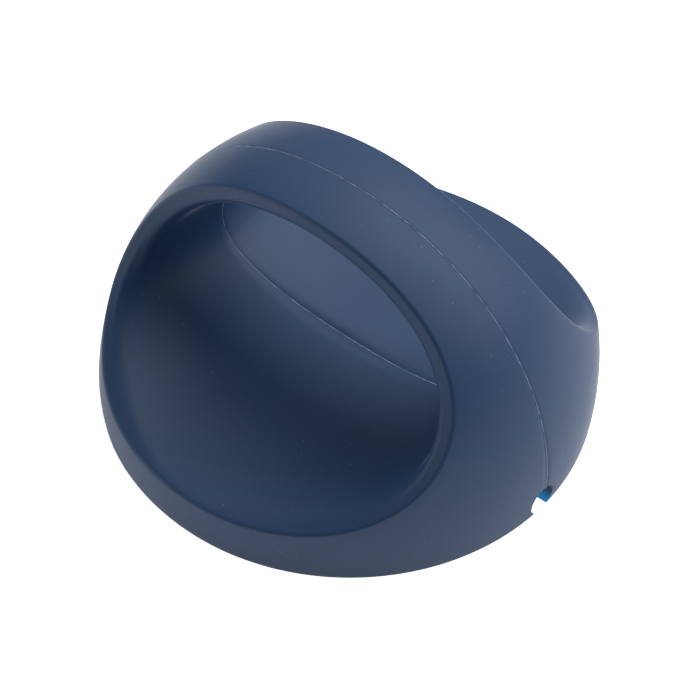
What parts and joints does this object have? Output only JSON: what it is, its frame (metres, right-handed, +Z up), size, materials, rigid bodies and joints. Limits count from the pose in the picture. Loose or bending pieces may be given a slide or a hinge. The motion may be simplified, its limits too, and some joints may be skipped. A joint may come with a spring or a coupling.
{
  "type": "pipette filler rest",
  "caption": "Soft silicone bench rest for a pipette filler: a flat-based ball with an arched strap over a wide tunnel and a snap-in lead channel under the base.",
  "frame": {"origin": "centre of the flat base, on the surface it stands on", "axes": "+X along the span of the strap, +Y through the tunnel from front to rear, +Z up from the base"},
  "size_m": [0.091, 0.0908, 0.0526],
  "materials": {
    "silicone": "matt moulded silicone, slate blue",
    "adhesive": "translucent pale silicone adhesive, satin"
  },
  "bodies": {
    "root": {"front_half": "silicone", "rear_half": "silicone", "bond_layer": "adhesive"}
  },
  "joints": []
}
